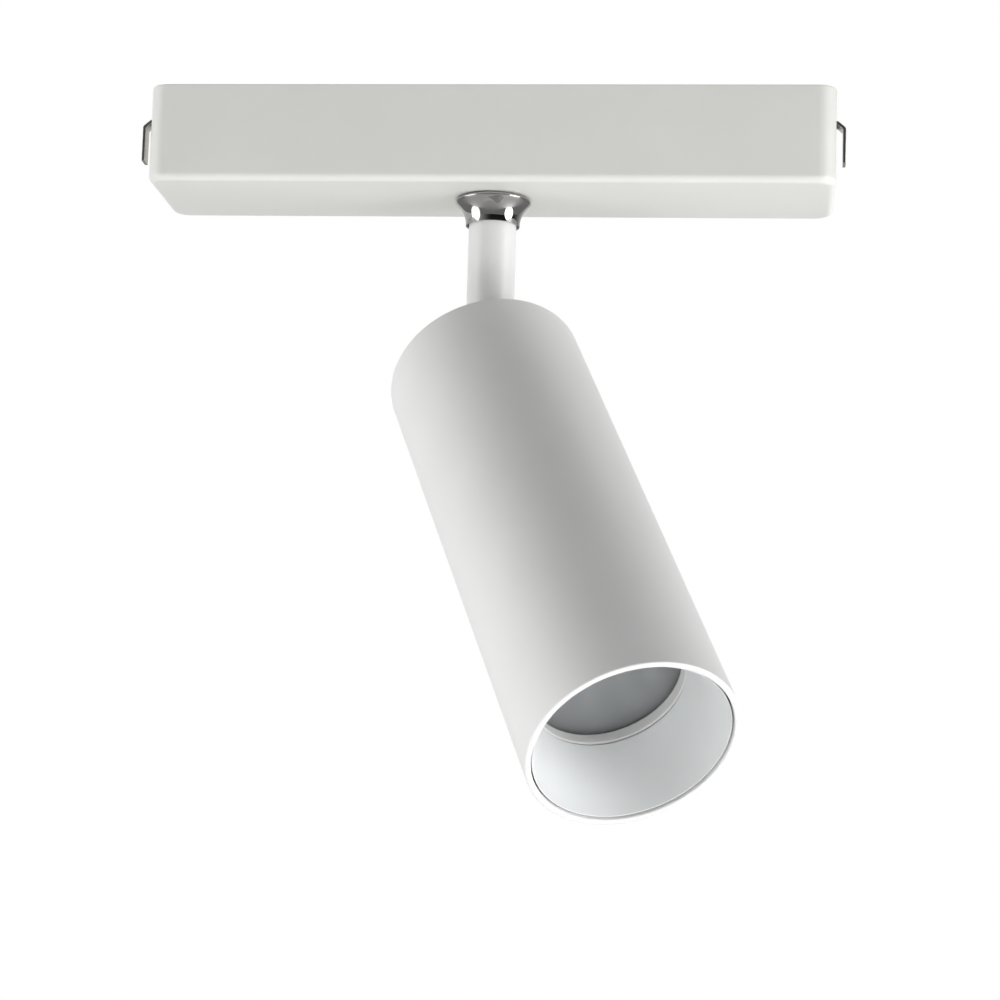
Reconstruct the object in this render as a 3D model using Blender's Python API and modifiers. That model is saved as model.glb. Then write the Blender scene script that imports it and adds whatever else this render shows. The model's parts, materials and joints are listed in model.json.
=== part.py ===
"""Track spotlight: a low-voltage track module with a cylindrical head on a swivelling stem.

The origin is the middle of the module's top face, where the track seats. +X runs along the module,
-Y is its front and +Z is up. Lengths are in metres. The head is stored tilted, as an installer leaves it.
"""

import math

import bmesh
import bpy
from mathutils import Matrix, Vector

MM = 0.001
GAP = 0.3 * MM  # left between pieces that touch

# Module housing
BOX_LENGTH = 160.0 * MM
BOX_WIDTH = 34.0 * MM
BOX_HEIGHT = 23.0 * MM
BOX_WALL = 1.8 * MM
BOX_CORNER = 4.4 * MM
BOX_EDGE = 1.7 * MM
FLOOR_TOP = BOX_WALL - BOX_HEIGHT
BOSS_PLACES = [(x * MM, y * MM) for x in (-71.5, 71.5) for y in (-11.5, 11.5)]

# Top cover and what sits in it
COVER_THICKNESS = 3.0 * MM
MAGNET_SIZE = (24.0 * MM, 12.0 * MM, 1.9 * MM)
MAGNET_PLACES = {"magnet_left": -16.0 * MM, "magnet_right": 48.0 * MM}
MAGNET_TOP = -0.1 * MM
CONTACT_X = -48.0 * MM
CONTACT_WINDOW = (28.0 * MM, 18.0 * MM)
CONTACT_PROUD = 0.8 * MM
CONTACT_BOTTOM = -10.0 * MM
PIN_STEP = -2.2 * MM
PIN_PLACES = [(CONTACT_X + x * MM, y * MM) for x in (-7.0, 7.0) for y in (-5.0, 5.0)]

# Driver board
BOARD_SIZE = (52.0 * MM, 26.0 * MM, 1.6 * MM)
BOARD_CENTRE = (40.0 * MM, 0.0)
BOARD_BOTTOM = -17.6 * MM
BOARD_TOP = BOARD_BOTTOM + BOARD_SIZE[2]
BOARD_SCREWS = [(18.0 * MM, -10.0 * MM), (62.0 * MM, 10.0 * MM)]

# Snap latches
LATCH_WIDTH = 4.0 * MM
LATCH_SHEET = 0.7 * MM
LATCH_BEND = (BOX_LENGTH / 2 - BOX_WALL / 2, -10.4 * MM, -7.6 * MM)
LATCH_REACH = 2.2 * MM

# Swivel and stem
STEM_RADIUS = 5.6 * MM
SHANK_RADIUS = 4.0 * MM
LEAD_BORE = 2.0 * MM
STEM_SHOULDER = -BOX_HEIGHT - GAP
SHANK_TOP = -12.5 * MM
STOP_RADIUS = 10.5 * MM
COLLAR_RADIUS = 9.0 * MM

# Head, placed by its tilt axis. A station is a distance along the head from its rear rim.
PIVOT_Z = -67.1 * MM
RIM_ABOVE_PIVOT = 2.0 * MM
PAN_AT_REST = math.radians(-151.6)
TILT_AT_REST = math.radians(42.8)
HEAD_LENGTH = 123.2 * MM
HEAD_RADIUS = 22.8 * MM
HEAD_BORE = 21.4 * MM
CAP_STATION = 8.5 * MM
CAP_THICKNESS = 3.0 * MM
SINK_END = 58.8 * MM
LENS_FACE = 102.9 * MM
APERTURE_STATION = 106.2 * MM
APERTURE_RADIUS = 16.25 * MM
LEAD_PLACE = (0.0, 14.0 * MM)  # of the lamp lead, from the head's axis
CAP_SCREWS = [(-7.0 * MM, 0.0), (7.0 * MM, 0.0)]

# Hinge
FORK_SLOT = 3.3 * MM  # half its width
LUG_HALF = 2.2 * MM
LUG_RADIUS = 4.6 * MM
HINGE_HOLE = 1.8 * MM


def clear_scene():
    for obj in list(bpy.data.objects):
        bpy.data.objects.remove(obj)


def new_collection(name, hidden=False):
    collection = bpy.data.collections.new(name)
    collection.hide_render = hidden
    bpy.context.scene.collection.children.link(collection)
    return collection


clear_scene()
PARTS = new_collection("track_spotlight")
CUTTERS = new_collection("cutters", hidden=True)

# Colour, roughness and metallic value of each finish
FINISHES = {
    "white_paint": ((0.86, 0.86, 0.85), 0.38, 0.0),
    "white_plastic": ((0.84, 0.84, 0.83), 0.5, 0.0),
    "black_plastic": ((0.03, 0.03, 0.03), 0.5, 0.0),
    "chrome": ((0.80, 0.80, 0.81), 0.04, 1.0),
    "steel": ((0.62, 0.60, 0.58), 0.28, 1.0),
    "nickel": ((0.70, 0.68, 0.64), 0.2, 1.0),
    "brass": ((0.85, 0.65, 0.30), 0.25, 1.0),
    "aluminium": ((0.75, 0.76, 0.77), 0.35, 1.0),
    "circuit_board": ((0.03, 0.20, 0.08), 0.4, 0.0),
    "copper": ((0.72, 0.36, 0.20), 0.35, 1.0),
    "phosphor": ((0.90, 0.72, 0.15), 0.45, 0.0),
    "glass": ((0.85, 0.88, 0.90), 0.05, 0.0),
    "rubber": ((0.05, 0.05, 0.05), 0.8, 0.0),
    "red_cable": ((0.55, 0.03, 0.03), 0.5, 0.0),
    "black_cable": ((0.02, 0.02, 0.02), 0.5, 0.0),
    "white_cable": ((0.80, 0.80, 0.78), 0.5, 0.0),
}


def new_material(name, finish):
    colour, roughness, metallic = FINISHES[finish]
    material = bpy.data.materials.new(name)
    material.use_nodes = True
    shader = material.node_tree.nodes["Principled BSDF"]
    shader.inputs["Base Color"].default_value = (*colour, 1.0)
    shader.inputs["Roughness"].default_value = roughness
    shader.inputs["Metallic"].default_value = metallic
    if finish == "glass":
        shader.inputs["Transmission Weight"].default_value = 1.0
    return material


def add_object(name, data, finish, parent):
    """The object as a part, or as a cutter where it has no finish."""
    obj = bpy.data.objects.new(name, data)
    obj.parent = parent
    if finish is None:
        CUTTERS.objects.link(obj)
        obj.hide_render = True
        obj.display_type = "WIRE"
    else:
        PARTS.objects.link(obj)
        data.materials.append(new_material(name, finish))
    return obj


def add_axis(name, location, rotation, parent=None):
    """An empty on a joint's axis, which the moving pieces are parented to."""
    axis = bpy.data.objects.new(name, None)
    axis.location = location
    axis.rotation_euler = rotation
    axis.parent = parent
    PARTS.objects.link(axis)
    return axis


def mesh_from(name, bm):
    bmesh.ops.recalc_face_normals(bm, faces=bm.faces)
    mesh = bpy.data.meshes.new(name)
    bm.to_mesh(mesh)
    bm.free()
    return mesh


def box(name, low, high, finish=None, parent=None, bevel=0.0):
    """A block between two corners."""
    low = Vector(low)
    high = Vector(high)
    bm = bmesh.new()
    bmesh.ops.create_cube(bm, size=1.0, matrix=Matrix.Diagonal((*(high - low), 1.0)))
    if bevel:
        bmesh.ops.bevel(bm, geom=bm.edges[:], offset=bevel, segments=2, profile=0.5, affect="EDGES")
    obj = add_object(name, mesh_from(name, bm), finish, parent)
    obj.location = (low + high) / 2
    return obj


def turned(name, profile, finish=None, parent=None, steps=32, centre=(0.0, 0.0)):
    """A solid turned about an upright axis. The (radius, height) profile runs down its outer side.

    It is closed by the axis where it starts and ends there, and otherwise by its own last edge.
    """
    mesh = bpy.data.meshes.new(name)
    edges = [(i, i + 1) for i in range(len(profile) - 1)]
    if profile[0][0] > 0.0:
        edges.append((len(profile) - 1, 0))
    mesh.from_pydata([(radius, 0.0, height) for radius, height in profile], edges, [])
    obj = add_object(name, mesh, finish, parent)
    obj.location = (*centre, 0.0)
    screw = obj.modifiers.new("Turn", "SCREW")
    screw.steps = steps
    screw.render_steps = steps
    screw.use_merge_vertices = True
    screw.merge_threshold = 1e-6
    return obj


def cylinder(name, radius, low, high, finish=None, parent=None, steps=24, centre=(0.0, 0.0)):
    profile = [(0.0, high), (radius, high), (radius, low), (0.0, low)]
    return turned(name, profile, finish, parent, steps, centre)


def ring(name, inner, outer, low, high, finish=None, parent=None, steps=32, centre=(0.0, 0.0)):
    profile = [(outer, high), (outer, low), (inner, low), (inner, high)]
    return turned(name, profile, finish, parent, steps, centre)


def arc(centre, radius, start, end, steps):
    """Points along an arc between two angles in degrees."""
    points = []
    for step in range(steps + 1):
        angle = math.radians(start + (end - start) * step / steps)
        points.append((centre[0] + radius * math.cos(angle), centre[1] + radius * math.sin(angle)))
    return points


def rounded_rectangle(length, width, radius):
    """The outline of a rectangle with round corners, about the origin."""
    outline = []
    for quarter, (side_x, side_y) in enumerate(((1, 1), (-1, 1), (-1, -1), (1, -1))):
        middle = (side_x * (length / 2 - radius), side_y * (width / 2 - radius))
        outline += arc(middle, radius, 90 * quarter, 90 * quarter + 90, 5)
    return outline


def plate(name, outline, low, high, finish=None, parent=None):
    """A flat outline in XY, extruded from one height to another."""
    curve = bpy.data.curves.new(name, "CURVE")
    curve.dimensions = "2D"
    curve.fill_mode = "BOTH"
    curve.extrude = (high - low) / 2
    spline = curve.splines.new("POLY")
    spline.points.add(len(outline) - 1)
    for point, (x, y) in zip(spline.points, outline):
        point.co = (x, y, 0.0, 1.0)
    spline.use_cyclic_u = True
    flat = bpy.data.objects.new(name + "_outline", curve)
    CUTTERS.objects.link(flat)
    evaluated = flat.evaluated_get(bpy.context.evaluated_depsgraph_get())
    filled = bpy.data.meshes.new_from_object(evaluated)
    bpy.data.objects.remove(flat)
    bm = bmesh.new()
    bm.from_mesh(filled)
    bpy.data.meshes.remove(filled)
    bmesh.ops.remove_doubles(bm, verts=bm.verts, dist=1e-7)
    bmesh.ops.dissolve_limit(bm, angle_limit=0.001, verts=bm.verts, edges=bm.edges)
    obj = add_object(name, mesh_from(name, bm), finish, parent)
    obj.location = (0.0, 0.0, (low + high) / 2)
    return obj


def smooth_route(points, steps=4):
    """A curve through the route's own points (Catmull-Rom), so that a lead has no sharp bend."""
    route = [Vector(point) for point in points]
    route = [2 * route[0] - route[1], *route, 2 * route[-1] - route[-2]]
    smooth = []
    for a, b, c, d in zip(route, route[1:], route[2:], route[3:]):
        for step in range(steps):
            t = step / steps
            smooth.append(
                0.5 * (2 * b + (c - a) * t + (2 * a - 5 * b + 4 * c - d) * t**2
                       + (3 * b - a - 3 * c + d) * t**3)
            )
    return [*smooth, route[-2]]


def wire(name, points, radius, finish, parent=None, resolution=2):
    """A round wire through the points, with filled ends."""
    curve = bpy.data.curves.new(name, "CURVE")
    curve.dimensions = "3D"
    curve.bevel_depth = radius
    curve.bevel_resolution = resolution
    curve.use_fill_caps = True
    spline = curve.splines.new("POLY")
    spline.points.add(len(points) - 1)
    for point, place in zip(spline.points, points):
        point.co = (*place, 1.0)
    return add_object(name, curve, finish, parent)


def boolean(target, tools, operation):
    for tool in tools:
        modifier = target.modifiers.new(tool.name, "BOOLEAN")
        modifier.operation = operation
        modifier.solver = "EXACT"
        modifier.object = tool


def cut(target, *tools):
    boolean(target, tools, "DIFFERENCE")


def join(target, *tools):
    boolean(target, tools, "UNION")


def countersunk(name, head, shank, top, length, finish, parent, centre):
    """A countersunk screw, its head's flat face at the given height."""
    profile = [
        (0.0, top),
        (head, top),
        (head, top - 0.3 * MM),
        (shank, top - 0.3 * MM - (head - shank)),
        (shank, top - length),
        (0.0, top - length),
    ]
    return turned(name, profile, finish, parent, 14, centre)


def countersink(name, head, shank, face, depth, parent, centre):
    """The hole for a countersunk screw, GAP wider than the screw all round."""
    head += GAP
    shank += GAP
    profile = [
        (0.0, face + MM),
        (head, face + MM),
        (head, face - 0.7 * MM),
        (shank, face - 0.7 * MM - (head - shank)),
        (shank, face - depth),
        (0.0, face - depth),
    ]
    return turned(name, profile, None, parent, 16, centre)


# ---------------------------------------------------------------- module

def make_housing():
    """A deep tray: round upright corners, a soft lower edge, bosses, a swivel hole and two latch slots."""
    outline = rounded_rectangle(BOX_LENGTH, BOX_WIDTH, BOX_CORNER)
    housing = plate("adapter_housing", outline, -BOX_HEIGHT, 0.0, "white_paint")
    round_lower_edge(housing.data, BOX_EDGE)
    inside = rounded_rectangle(BOX_LENGTH - 2 * BOX_WALL, BOX_WIDTH - 2 * BOX_WALL, BOX_CORNER - BOX_WALL)
    cut(housing, plate("housing_inside", inside, FLOOR_TOP, 2 * MM))
    boss_top = -COVER_THICKNESS - GAP
    root = FLOOR_TOP - BOX_WALL / 2
    for i, place in enumerate(BOSS_PLACES, 1):
        join(housing, cylinder(f"cover_boss_{i}", 2.8 * MM, root, boss_top, steps=20, centre=place))
        cut(housing, cylinder(f"cover_pilot_{i}", 1.3 * MM, -11 * MM, 0.0, steps=16, centre=place))
    for i, place in enumerate(BOARD_SCREWS, 1):
        join(housing, cylinder(f"board_boss_{i}", 2.4 * MM, root, BOARD_BOTTOM - GAP, steps=20, centre=place))
        cut(housing, cylinder(f"board_pilot_{i}", 1.2 * MM, -20.9 * MM, -10 * MM, steps=16, centre=place))
    stop_angle = PAN_AT_REST - math.pi / 2
    stop_place = (STOP_RADIUS * math.cos(stop_angle), STOP_RADIUS * math.sin(stop_angle))
    join(housing, cylinder("pan_stop", 0.8 * MM, root, -17.2 * MM, steps=16, centre=stop_place))
    cut(housing, cylinder("swivel_hole", 6.6 * MM, -BOX_HEIGHT - MM, FLOOR_TOP + MM, steps=32))
    for side in (-1, 1):
        x = side * BOX_LENGTH / 2
        low = (x - 4 * MM, LATCH_BEND[1] - LATCH_WIDTH / 2 - 0.4 * MM, LATCH_BEND[2] - 0.7 * MM)
        high = (x + 4 * MM, LATCH_BEND[1] + LATCH_WIDTH / 2 + 0.4 * MM, LATCH_BEND[2] + 0.7 * MM)
        cut(housing, box(f"latch_slot_{side}", low, high))


def round_lower_edge(mesh, radius):
    bm = bmesh.new()
    bm.from_mesh(mesh)
    bottom = min(vert.co.z for vert in bm.verts) + 1e-6
    edges = [edge for edge in bm.edges if all(vert.co.z < bottom for vert in edge.verts)]
    bmesh.ops.bevel(bm, geom=edges, offset=radius, segments=3, profile=0.5, affect="EDGES")
    bm.to_mesh(mesh)
    bm.free()


def make_cover():
    inset = 2 * (BOX_WALL + GAP)
    outline = rounded_rectangle(BOX_LENGTH - inset, BOX_WIDTH - inset, BOX_CORNER - BOX_WALL - GAP)
    cover = plate("top_cover", outline, -COVER_THICKNESS, 0.0, "white_plastic")
    for i, place in enumerate(BOSS_PLACES, 1):
        cut(cover, countersink(f"cover_countersink_{i}", 2.3 * MM, MM, 0.0, 4 * MM, None, place))
        countersunk(f"cover_screw_{i}", 2.3 * MM, MM, -0.2 * MM, 9 * MM, "steel", None, place)
    length, width, height = MAGNET_SIZE
    for name, x in MAGNET_PLACES.items():
        low = Vector((x - length / 2, -width / 2, MAGNET_TOP - height))
        high = Vector((x + length / 2, width / 2, MAGNET_TOP))
        box(name, low, high, "nickel", bevel=0.3 * MM)
        pocket_high = high + Vector((GAP, GAP, MM))
        cut(cover, box(name + "_pocket", low - Vector((GAP, GAP, GAP)), pocket_high))
    half_x = CONTACT_WINDOW[0] / 2 + GAP
    half_y = CONTACT_WINDOW[1] / 2 + GAP
    low = (CONTACT_X - half_x, -half_y, -COVER_THICKNESS - MM)
    cut(cover, box("contact_window", low, (CONTACT_X + half_x, half_y, MM)))


def make_contacts():
    """An insulating block with sprung pins over a small board. Each pin is held down by a shoulder."""
    half_x, half_y = (side / 2 for side in CONTACT_WINDOW)
    under = 3 * MM  # how far the block reaches under the cover
    under_cover = -COVER_THICKNESS - GAP
    low = (CONTACT_X - half_x - under, -half_y - under, CONTACT_BOTTOM)
    high = (CONTACT_X + half_x + under, half_y + under, under_cover)
    block = box("contact_block", low, high, "black_plastic")
    low = (CONTACT_X - half_x, -half_y, under_cover - MM)
    join(block, box("contact_plateau", low, (CONTACT_X + half_x, half_y, CONTACT_PROUD)))
    board_top = CONTACT_BOTTOM - GAP
    low = (CONTACT_X - half_x - under, -half_y - under, board_top - BOARD_SIZE[2])
    high = (CONTACT_X + half_x + under, half_y + under, board_top)
    box("contact_board", low, high, "circuit_board")
    for i, place in enumerate(PIN_PLACES, 1):
        nose_hole = cylinder(f"pin_hole_{i}", 1.3 * MM, PIN_STEP - MM, 2 * MM, steps=20, centre=place)
        low = CONTACT_BOTTOM - MM
        spring_hole = cylinder(f"spring_hole_{i}", 1.8 * MM, low, PIN_STEP, steps=20, centre=place)
        cut(block, nose_hole, spring_hole)
        make_pin(i, place)


def make_pin(number, place):
    """A pin with a domed nose, a shoulder under the block's step and a tail inside its spring."""
    shoulder = PIN_STEP - GAP
    seat = shoulder - 1.9 * MM
    nose = 2.6 * MM
    profile = [
        (0.0, nose),
        (0.6 * MM, nose - 0.15 * MM),
        (1.0 * MM, nose - 0.6 * MM),
        (1.0 * MM, shoulder),
        (1.5 * MM, shoulder),
        (1.5 * MM, seat),
        (0.6 * MM, seat),
        (0.6 * MM, seat - 1.4 * MM),
        (0.0, seat - 1.4 * MM),
    ]
    turned(f"contact_pin_{number}", profile, "brass", None, 14, place)
    top = seat - GAP - 0.2 * MM
    bottom = CONTACT_BOTTOM + 0.2 * MM
    turns = 4
    steps = turns * 7
    coil = []
    for step in range(steps + 1):
        angle = 2 * math.pi * turns * step / steps
        height = bottom + (top - bottom) * step / steps
        x = place[0] + 1.1 * MM * math.cos(angle)
        coil.append((x, place[1] + 1.1 * MM * math.sin(angle), height))
    wire(f"pin_spring_{number}", coil, 0.2 * MM, "steel", resolution=1)


def make_driver():
    length, width, _ = BOARD_SIZE
    x, y = BOARD_CENTRE
    low = (x - length / 2, y - width / 2, BOARD_BOTTOM)
    board = box("driver_board", low, (x + length / 2, y + width / 2, BOARD_TOP), "circuit_board")
    for i, place in enumerate(BOARD_SCREWS, 1):
        hole_low = BOARD_BOTTOM - MM
        hole_high = BOARD_TOP + MM
        cut(board, cylinder(f"board_hole_{i}", 1.2 * MM, hole_low, hole_high, steps=16, centre=place))
        head = BOARD_TOP + GAP
        profile = [
            (0.0, head + 1.4 * MM),
            (1.4 * MM, head + 1.4 * MM),
            (2.0 * MM, head + 0.9 * MM),
            (2.0 * MM, head),
            (0.9 * MM, head),
            (0.9 * MM, head - 4.8 * MM),
            (0.0, head - 4.8 * MM),
        ]
        turned(f"board_screw_{i}", profile, "steel", None, 20, place)
    foot = BOARD_TOP + GAP
    centre = (44 * MM, -5 * MM)
    profile = [
        (0.0, foot + 7.2 * MM),
        (5.5 * MM, foot + 7.2 * MM),
        (5.5 * MM, foot + 6.0 * MM),
        (4.9 * MM, foot + 5.8 * MM),
        (4.9 * MM, foot + 1.4 * MM),
        (5.5 * MM, foot + 1.2 * MM),
        (5.5 * MM, foot),
        (0.0, foot),
    ]
    turned("inductor", profile, "copper", None, 24, centre)
    capacitor = cylinder("capacitor", 3.5 * MM, -6 * MM, 6 * MM, "aluminium", steps=24)
    capacitor.location = (44 * MM, 6.5 * MM, foot + 3.7 * MM)
    capacitor.rotation_euler = (0.0, math.pi / 2, 0.0)
    high = (60 * MM, -MM, foot + 1.4 * MM)
    box("control_chip", (54 * MM, -7 * MM, foot), high, "black_plastic", bevel=0.2 * MM)
    high = (24 * MM, 4 * MM, foot + 6 * MM)
    box("lead_terminal", (17 * MM, -4 * MM, foot), high, "white_plastic", bevel=0.4 * MM)


def make_module_leads():
    """Two supply leads pass the swivel, one on each side, and the lamp lead drops into the stem."""
    for name, side, finish in (("positive", 1, "red_cable"), ("negative", -1, "black_cable")):
        route = [(-38, 6, -12.9), (-30, 8, -13.4), (-18, 12.2, -14.2), (-4, 13.2, -14.5),
                 (10, 13.3, -14.4), (21, 13.2, -14.5), (27, 11, -14.9), (30, 8, -15.0)]
        points = smooth_route([(x * MM, side * y * MM, z * MM) for x, y, z in route], 2)
        wire(f"supply_lead_{name}", points, 0.6 * MM, finish)
    route = [(16.5, 0, -11.5), (11, 0, -10.0), (5, 0, -8.4), (1.2, 0, -8.8), (0, 0, -10.4), (0, 0, -12.2)]
    points = smooth_route([(x * MM, y * MM, z * MM) for x, y, z in route], 3)
    wire("lamp_lead_upper", points, MM, "white_cable")


def make_latch(name, side):
    """A bent steel strip: one leg inside the end wall, one outside it, and the bend through the slot."""
    hinge_x, hinge_y, hinge_z = LATCH_BEND
    axis = add_axis(f"{name}_axis", (side * hinge_x, hinge_y, hinge_z), (math.pi / 2, 0.0, 0.0))
    half = LATCH_SHEET / 2
    inner = BOX_LENGTH / 2 - BOX_WALL - GAP - half - hinge_x
    outer = BOX_LENGTH / 2 + LATCH_REACH - half - hinge_x
    middle = [(inner, -5.5), (inner, -0.7), (inner + 0.7 * MM, 0.0), (1.1 * MM, 0.0),
              (outer, -1.4), (outer, -9.6)]
    middle = [Vector((x, z * MM)) for x, z in middle]
    left = offset_line(middle, half)
    right = offset_line(middle, -half)
    outline = [(side * x, z) for x, z in left + right[::-1]]
    plate(name, outline, -LATCH_WIDTH / 2, LATCH_WIDTH / 2, "steel", axis)


def offset_line(points, distance):
    """A line's points moved sideways, with mitred corners."""
    moved = []
    for i, point in enumerate(points):
        before = points[max(i - 1, 0)]
        after = points[min(i + 1, len(points) - 1)]
        arrive = (point - before).normalized() if i else (after - point).normalized()
        leave = (after - point).normalized() if i < len(points) - 1 else arrive
        normal = Vector((-arrive.y - leave.y, arrive.x + leave.x)).normalized()
        stretch = normal.dot(Vector((-arrive.y, arrive.x)))
        moved.append(point + normal * distance / stretch)
    return [(point.x, point.y) for point in moved]


def make_swivel_seat():
    """The bush in the housing floor, and the flared collar under it."""
    flange = FLOOR_TOP + GAP
    profile = [
        (8.5 * MM, flange + 1.3 * MM),
        (8.5 * MM, flange),
        (6.3 * MM, flange),
        (6.3 * MM, -BOX_HEIGHT),
        (SHANK_RADIUS + GAP, -BOX_HEIGHT),
        (SHANK_RADIUS + GAP, flange + 1.3 * MM),
    ]
    turned("swivel_bush", profile, "white_plastic")
    top = -BOX_HEIGHT - GAP
    flare = [(COLLAR_RADIUS - 0.5 * MM, top), (COLLAR_RADIUS - 0.1 * MM, top - 0.2 * MM),
             (COLLAR_RADIUS, top - 0.6 * MM), (COLLAR_RADIUS - 0.35 * MM, top - 1.0 * MM)]
    throat = STEM_RADIUS + 0.75 * MM
    reach = COLLAR_RADIUS - 0.35 * MM - throat
    for step in range(1, 7):
        part = step / 6
        flare.append((throat + reach * (1 - part) ** 2.2, top - MM - 5.2 * MM * part))
    bore = STEM_RADIUS + GAP
    profile = [*flare, (bore, flare[-1][1]), (bore, top)]
    turned("chrome_collar", profile, "chrome", None, 36)


# ---------------------------------------------------------------- stem

def make_stem(pan_axis):
    """A hollow stem: a slim shank through the bush, a shoulder under it, and a socket for the fork."""
    bottom = PIVOT_Z + 8.3 * MM
    socket_top = bottom + 7.8 * MM
    socket = SHANK_RADIUS
    profile = [
        (SHANK_RADIUS, SHANK_TOP),
        (SHANK_RADIUS, STEM_SHOULDER),
        (STEM_RADIUS, STEM_SHOULDER),
        (STEM_RADIUS, bottom),
        (socket, bottom),
        (socket, socket_top),
        (LEAD_BORE, socket_top),
        (LEAD_BORE, SHANK_TOP),
    ]
    turned("stem_tube", profile, "white_paint", pan_axis, 40)
    bore = SHANK_RADIUS + GAP
    bush_top = FLOOR_TOP + GAP + 1.3 * MM
    wave_low = bush_top + GAP
    ring("wave_washer", bore, 7.8 * MM, wave_low, wave_low + 0.7 * MM, "steel", pan_axis)
    stop_low = wave_low + MM
    stop = ring("stop_washer", bore, 8.0 * MM, stop_low, stop_low + MM, "steel", pan_axis)
    low = (-0.8 * MM, 6.5 * MM, stop_low)
    join(stop, box("stop_tab", low, (0.8 * MM, STOP_RADIUS + 0.7 * MM, stop_low + MM), parent=pan_axis))
    nut_low = stop_low + MM + GAP
    nut = plate("lock_nut", hexagon(13 * MM), nut_low, nut_low + 4.3 * MM, "brass", pan_axis)
    cut(nut, cylinder("lock_nut_hole", bore, nut_low - MM, nut_low + 6 * MM, parent=pan_axis))
    points = [(0.0, 0.0, SHANK_TOP - 0.2 * MM), (0.0, 0.0, PIVOT_Z + 6.2 * MM)]
    wire("lamp_lead_middle", points, MM, "white_cable", pan_axis)


def hexagon(across_flats):
    corner = across_flats / math.sqrt(3)
    return arc((0.0, 0.0), corner, 0, 300, 5)


def make_fork(pan_axis):
    """A ball-ended bar, its end centred on the hinge, milled to a fork, with a spigot for the stem."""
    base_low = PIVOT_Z + 6 * MM
    base_top = PIVOT_Z + 8 * MM
    end = arc((0.0, PIVOT_Z), STEM_RADIUS, 0, -80, 8)
    profile = [(0.0, base_top), (STEM_RADIUS, base_top), *end, (0.0, PIVOT_Z - STEM_RADIUS)]
    fork = turned("hinge_fork", profile, "steel", pan_axis, 36)
    low = (-FORK_SLOT, -7 * MM, PIVOT_Z - 8 * MM)
    cut(fork, box("fork_slot", low, (FORK_SLOT, 7 * MM, base_low), parent=pan_axis))
    spigot = SHANK_RADIUS - GAP
    join(fork, cylinder("fork_spigot", spigot, base_top - MM, PIVOT_Z + 15.5 * MM, parent=pan_axis))
    cut(fork, cylinder("fork_lead_hole", 1.6 * MM, base_low - MM, PIVOT_Z + 17 * MM, parent=pan_axis))
    cut(fork, hinge_hole("fork_pin_hole", -8 * MM, 8 * MM, pan_axis))


def turned_on_hinge(name, profile, finish, pan_axis):
    """A solid turned about the hinge axis. Heights in its profile are places along that axis."""
    obj = turned(name, profile, finish, pan_axis, 20)
    obj.location = (0.0, 0.0, PIVOT_Z)
    obj.rotation_euler = (0.0, math.pi / 2, 0.0)
    return obj


def hinge_hole(name, low, high, pan_axis):
    profile = [(0.0, high), (HINGE_HOLE, high), (HINGE_HOLE, low), (0.0, low)]
    return turned_on_hinge(name, profile, None, pan_axis)


def make_hinge_fasteners(pan_axis):
    outside = STEM_RADIUS + GAP
    shank = HINGE_HOLE - GAP
    profile = [
        (0.0, outside + 1.9 * MM),
        (1.9 * MM, outside + 1.9 * MM),
        (2.8 * MM, outside + 1.2 * MM),
        (2.8 * MM, outside),
        (shank, outside),
        (shank, -outside - 2.9 * MM),
        (0.0, -outside - 2.9 * MM),
    ]
    turned_on_hinge("hinge_screw", profile, "steel", pan_axis)
    half_nut = 1.2 * MM
    nut = plate("hinge_nut", hexagon(5.5 * MM), -half_nut, half_nut, "steel", pan_axis)
    nut.location = (-outside - half_nut, 0.0, PIVOT_Z)
    nut.rotation_euler = (0.0, math.pi / 2, 0.0)
    cut(nut, hinge_hole("hinge_nut_hole", -10 * MM, -4 * MM, pan_axis))
    inner = LUG_HALF + GAP
    outer = FORK_SLOT - GAP
    for name, low, high in (("left", -outer, -inner), ("right", inner, outer)):
        profile = [(4.2 * MM, high), (4.2 * MM, low), (HINGE_HOLE, low), (HINGE_HOLE, high)]
        turned_on_hinge(f"hinge_washer_{name}", profile, "steel", pan_axis)


# ---------------------------------------------------------------- head

def at(station):
    """The height, in the head's own frame, of a station along the head."""
    return RIM_ABOVE_PIVOT - station


def make_tube(tilt_axis):
    chamfer = 0.3 * MM
    profile = [
        (HEAD_RADIUS - chamfer, at(0.0)),
        (HEAD_RADIUS, at(chamfer)),
        (HEAD_RADIUS, at(HEAD_LENGTH - chamfer)),
        (HEAD_RADIUS - chamfer, at(HEAD_LENGTH)),
        (HEAD_BORE + chamfer, at(HEAD_LENGTH)),
        (HEAD_BORE, at(HEAD_LENGTH - chamfer)),
        (HEAD_BORE, at(chamfer)),
        (HEAD_BORE + chamfer, at(0.0)),
    ]
    turned("lamp_tube", profile, "white_paint", tilt_axis, 48)


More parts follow.
